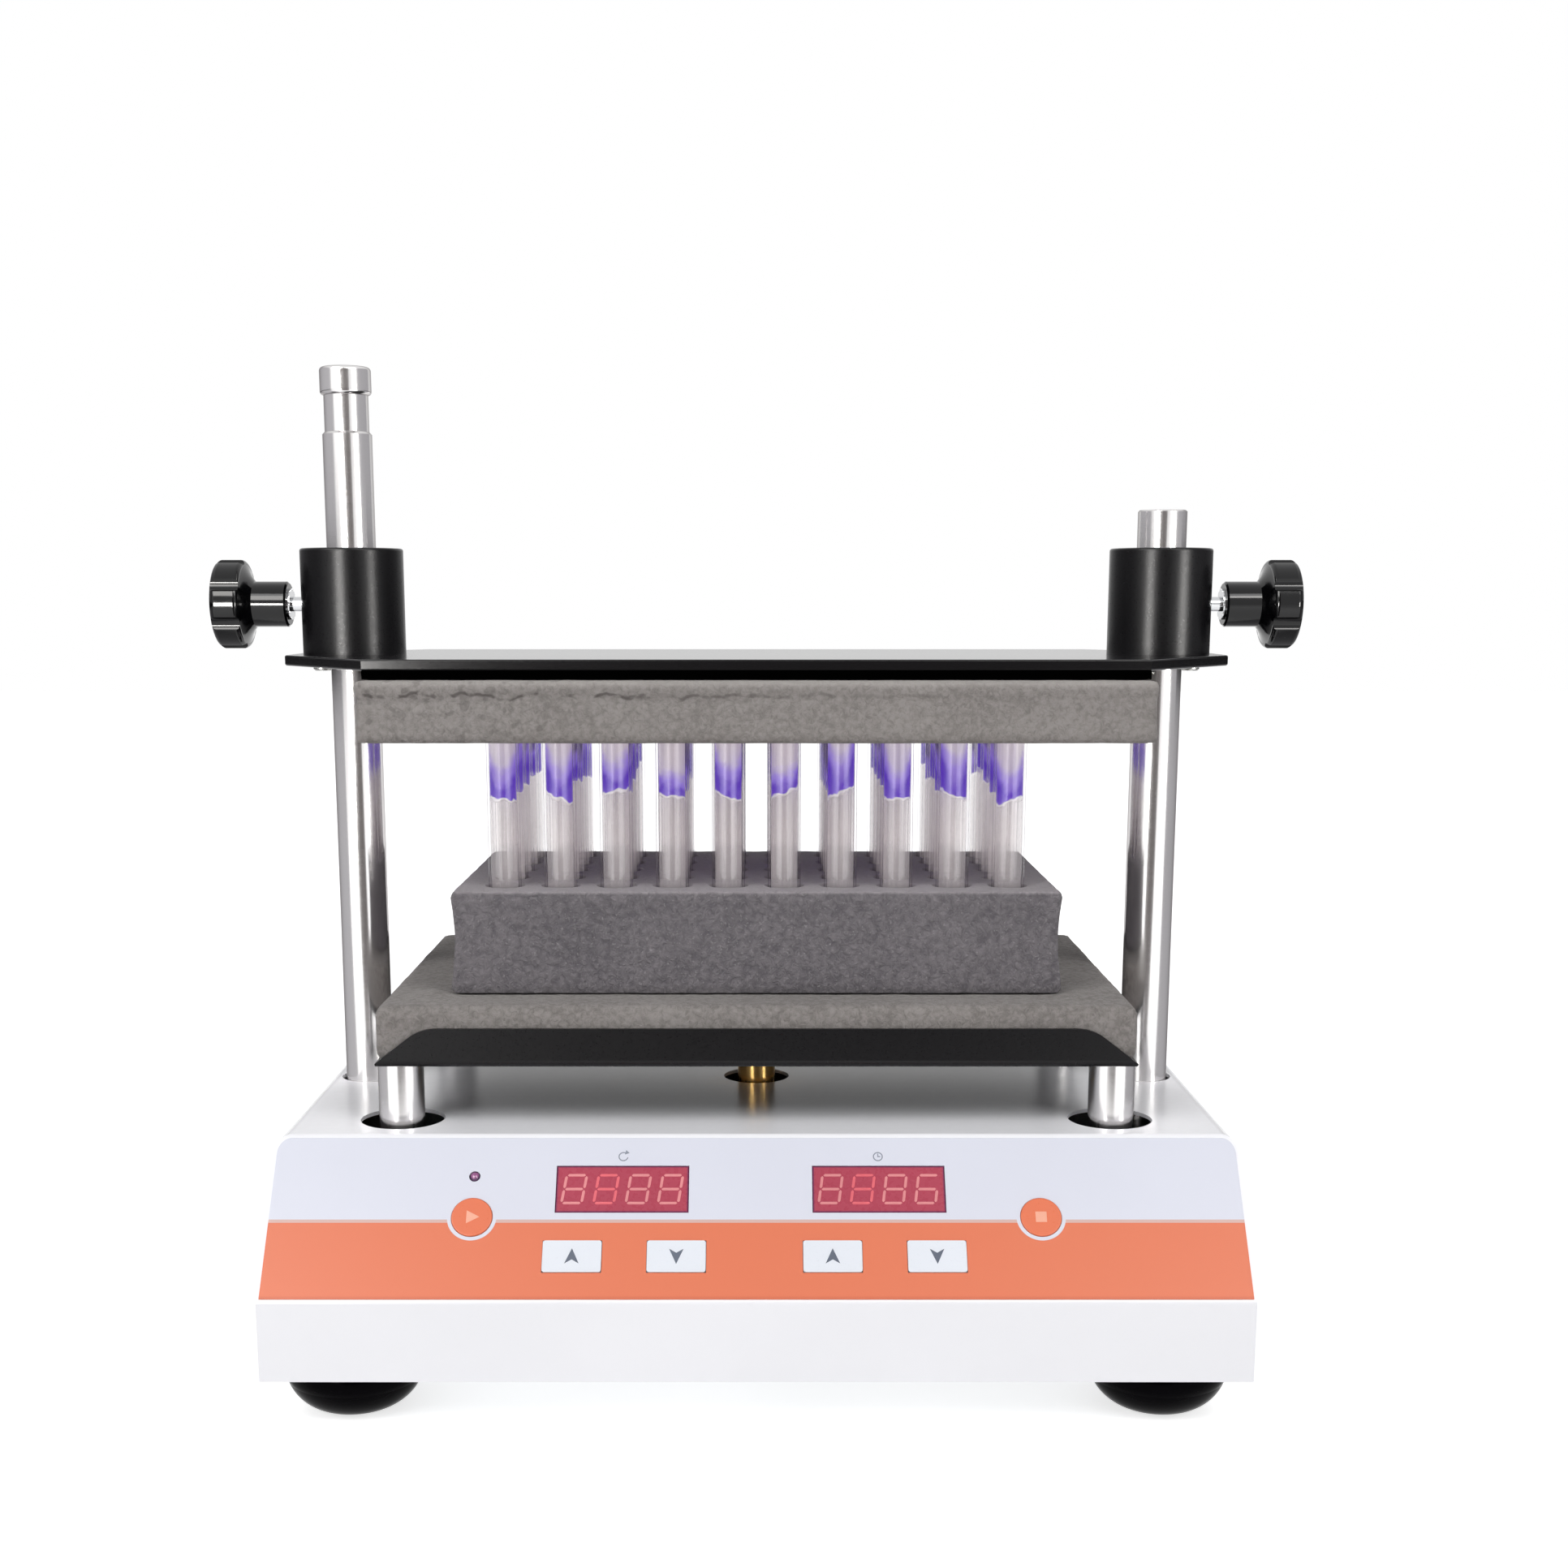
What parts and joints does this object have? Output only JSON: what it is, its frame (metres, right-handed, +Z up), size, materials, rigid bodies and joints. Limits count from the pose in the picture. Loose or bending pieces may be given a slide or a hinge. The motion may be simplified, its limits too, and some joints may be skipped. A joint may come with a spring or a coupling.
{
  "type": "multi-tube vortex mixer",
  "caption": "Bench mixer that clamps a foam rack of sample tubes between two posts and shakes it in a small orbit over a white control housing.",
  "frame": {"origin": "on the bench surface, under the middle of the whole machine's outer box", "axes": "+Z up, +X to the right across the control panel, -Y towards the user, out of the control panel"},
  "size_m": [0.446, 0.2412, 0.3991],
  "materials": {
    "white_enamel": "gloss",
    "zinc_sheet": "satin",
    "panel_foil": "satin",
    "orange_key": "satin",
    "white_key": "satin",
    "display_red": "gloss",
    "led_red": "gloss",
    "black_rubber": "satin",
    "black_enamel": "satin",
    "black_phenolic": "gloss",
    "black_moulding": "satin",
    "polished_steel": "polished",
    "zinc_screw": "satin",
    "machined_aluminium": "satin",
    "cast_zinc": "matte",
    "brass": "satin",
    "grey_foam": "matte",
    "dark_foam": "matte",
    "clear_glass": "gloss",
    "circuit_board": "satin"
  },
  "bodies": {
    "base": {"cover_shell": "white_enamel", "base_plate": "zinc_sheet", "cover_screws": "zinc_screw", "foot_screws": "zinc_screw", "panel_foil": "panel_foil", "control_board": "circuit_board", "status_led": "led_red", "board_standoffs": "zinc_screw", "motor": "machined_aluminium", "motor_bridge": "zinc_sheet", "bridge_screws": "zinc_screw", "mount_pillars": "machined_aluminium", "rubber_mounts": "black_rubber", "power_inlet": "black_moulding", "inlet_blades": "zinc_screw", "rocker_bezel": "black_moulding", "power_board": "circuit_board", "foot_front_left": "black_rubber", "foot_rear_left": "black_rubber", "foot_front_right": "black_rubber", "foot_rear_right": "black_rubber", "display_speed": "display_red", "display_time": "display_red"},
    "power_rocker": {"rocker": "black_phenolic"},
    "drive": {"motor_shaft": "polished_steel", "eccentric": "cast_zinc", "bearing_inner": "polished_steel"},
    "shaking_frame": {"bearing_outer_ring": "polished_steel", "bearing_housing": "machined_aluminium", "swing_plate": "black_enamel", "plate_screws": "zinc_screw", "centre_pillar": "brass", "short_posts": "polished_steel", "tall_post_left": "polished_steel", "tall_post_right": "polished_steel", "post_cap": "polished_steel", "tray": "black_enamel", "tray_screws": "zinc_screw", "liner_foam": "grey_foam"},
    "tube_rack": {"rack_foam": "dark_foam", "sample_tubes": "clear_glass"},
    "clamp_bridge": {"clamp_pad": "grey_foam", "backing_board": "black_moulding", "clamp_plate": "black_enamel", "collar_left": "black_enamel", "collar_right": "black_enamel", "collar_screws": "zinc_screw"},
    "tip_left": {"clamp_tip_left": "brass"},
    "tip_right": {"clamp_tip_right": "brass"},
    "clamp_knob_left": {"clamp_screw_left": "zinc_screw", "knob_left": "black_phenolic"},
    "clamp_knob_right": {"clamp_screw_right": "zinc_screw", "knob_right": "black_phenolic"},
    "key_speed_up": {"key_speed_up": "white_key"},
    "key_speed_down": {"key_speed_down": "white_key"},
    "key_time_up": {"key_time_up": "white_key"},
    "key_time_down": {"key_time_down": "white_key"},
    "button_start": {"button_start": "orange_key"},
    "button_stop": {"button_stop": "orange_key"}
  },
  "joints": [
    {"name": "drive_spin", "type": "hinge", "parent": "base", "child": "drive", "pos_m": [0, 0.0199, 0.0715], "axis": [0, 0, 1], "continuous": true},
    {"name": "frame_orbit", "type": "hinge", "parent": "drive", "child": "shaking_frame", "pos_m": [0, 0.0181, 0.086], "axis": [0, 0, 1], "continuous": true},
    {"name": "rack_slide", "type": "slide", "parent": "shaking_frame", "child": "tube_rack", "axis": [0, -1, 0], "range_m": [0, 0.2]},
    {"name": "bridge_lift", "type": "slide", "parent": "shaking_frame", "child": "clamp_bridge", "axis": [0, 0, 1], "range_m": [0, 0.125]},
    {"name": "rocker_tip", "type": "hinge", "parent": "base", "child": "power_rocker", "pos_m": [-0.062, 0.1139, 0.0546], "axis": [1, 0, 0], "range_deg": [-20, 0]},
    {"name": "tip_left_slide", "type": "slide", "parent": "clamp_bridge", "child": "tip_left", "axis": [-1, 0, 0], "range_m": [0, 0.003]},
    {"name": "knob_left_turn", "type": "hinge", "parent": "tip_left", "child": "clamp_knob_left", "pos_m": [-0.1668, 0.0181, 0.3047], "axis": [-1, 0, 0], "range_deg": [0, 1080]},
    {"name": "tip_right_slide", "type": "slide", "parent": "clamp_bridge", "child": "tip_right", "axis": [1, 0, 0], "range_m": [0, 0.003]},
    {"name": "knob_right_turn", "type": "hinge", "parent": "tip_right", "child": "clamp_knob_right", "pos_m": [0.1668, 0.0181, 0.3047], "axis": [1, 0, 0], "range_deg": [0, 1080]},
    {"name": "key_speed_up_press", "type": "slide", "parent": "base", "child": "key_speed_up", "axis": [0, 0.7694, -0.6387], "range_m": [0, 0.0008], "stiffness_N_per_m": 800, "springref_m": -0.0006},
    {"name": "key_speed_down_press", "type": "slide", "parent": "base", "child": "key_speed_down", "axis": [0, 0.7694, -0.6387], "range_m": [0, 0.0008], "stiffness_N_per_m": 800, "springref_m": -0.0006},
    {"name": "key_time_up_press", "type": "slide", "parent": "base", "child": "key_time_up", "axis": [0, 0.7694, -0.6387], "range_m": [0, 0.0008], "stiffness_N_per_m": 800, "springref_m": -0.0006},
    {"name": "key_time_down_press", "type": "slide", "parent": "base", "child": "key_time_down", "axis": [0, 0.7694, -0.6387], "range_m": [0, 0.0008], "stiffness_N_per_m": 800, "springref_m": -0.0006},
    {"name": "button_start_press", "type": "slide", "parent": "base", "child": "button_start", "axis": [0, 0.7694, -0.6387], "range_m": [0, 0.0008], "stiffness_N_per_m": 800, "springref_m": -0.0006},
    {"name": "button_stop_press", "type": "slide", "parent": "base", "child": "button_stop", "axis": [0, 0.7694, -0.6387], "range_m": [0, 0.0008], "stiffness_N_per_m": 800, "springref_m": -0.0006}
  ],
  "couplings": [
    {"joint": "frame_orbit", "follows": "drive_spin", "ratio": -1},
    {"joint": "tip_left_slide", "follows": "knob_left_turn", "m_per_rad": 0.00015915},
    {"joint": "tip_right_slide", "follows": "knob_right_turn", "m_per_rad": 0.00015915}
  ]
}
